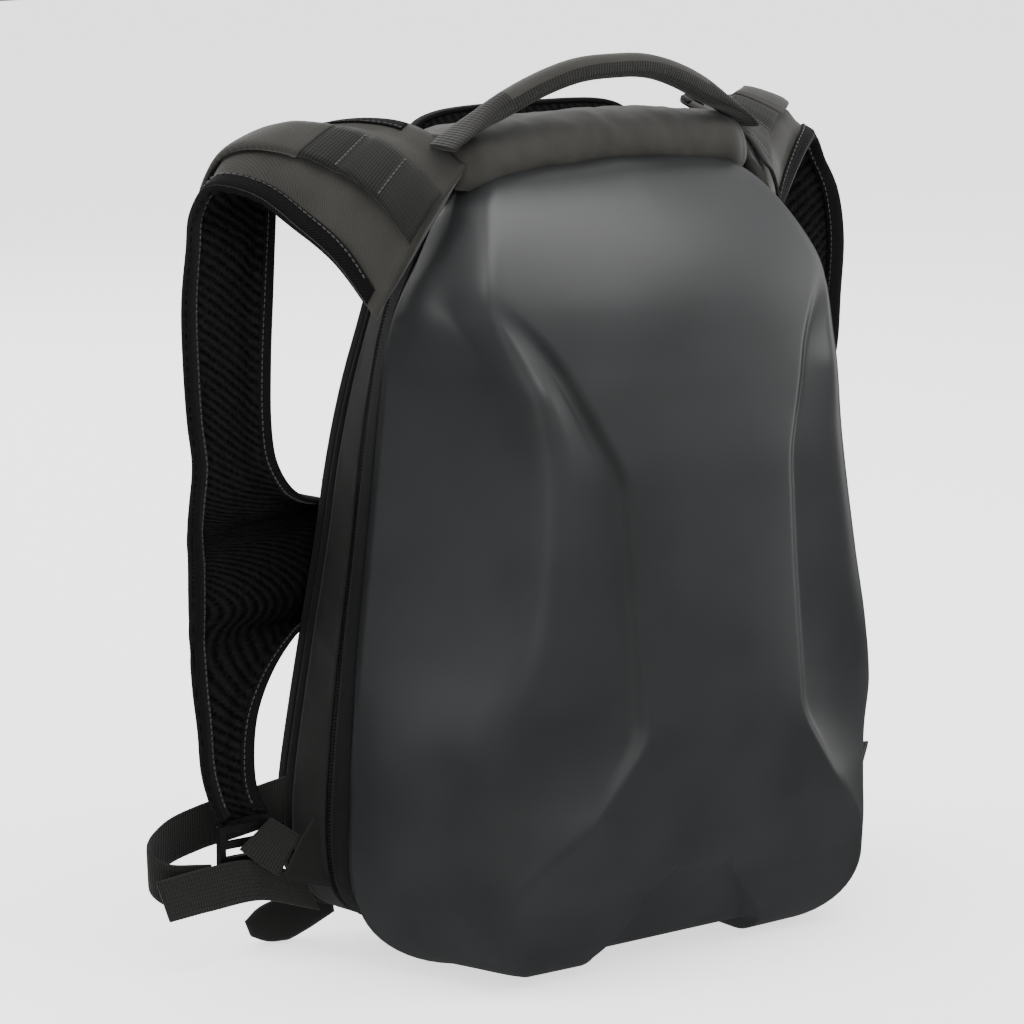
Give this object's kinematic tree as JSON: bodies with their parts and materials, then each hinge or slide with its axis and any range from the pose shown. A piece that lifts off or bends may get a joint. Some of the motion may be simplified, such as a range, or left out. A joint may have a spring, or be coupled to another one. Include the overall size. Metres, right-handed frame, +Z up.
{
  "type": "hard shell backpack",
  "caption": "Hard shell backpack: moulded faceted front shell, zipped fabric body, padded back and shoulder straps, top grab handle, chest buckle and waist webbing.",
  "frame": {"origin": "middle of the model's footprint, on the surface that the pack stands on", "axes": "+X to the pack's own side across its width, -Y towards the front of the shell, +Y towards the wearer's back, +Z up"},
  "size_m": [0.5226, 0.2244, 0.5033],
  "materials": {
    "shell": "satin moulded shell",
    "cloth": "twill woven polyester",
    "lining": "spacer mesh and lining cloth",
    "webbing": "ribbed webbing",
    "tape": "herringbone binding tape",
    "plastic": "moulded acetal"
  },
  "bodies": {
    "root": {"shell": "shell", "rim_band": "tape", "zip": "lining", "gusset": "cloth", "piping": "tape", "back_panel": "lining", "back_binding": "tape", "yoke": "cloth", "handle": "webbing", "chest_buckle": "plastic", "strap_right": "cloth", "strap_left": "cloth", "shoulder_web_right": "webbing", "shoulder_web_left": "webbing", "chest_web_right": "webbing", "chest_web_left": "webbing", "strap_slider_right": "plastic", "strap_slider_left": "plastic", "ladder_lock_right": "plastic", "ladder_lock_left": "plastic", "lower_web_right": "webbing", "lower_web_left": "webbing", "side_tab_right": "cloth", "side_tab_left": "cloth", "strap_tail_right": "webbing", "strap_tail_left": "webbing", "waist_web_right": "webbing", "waist_web_left": "webbing", "hip_flap_right": "lining", "hip_flap_left": "lining"}
  },
  "joints": []
}
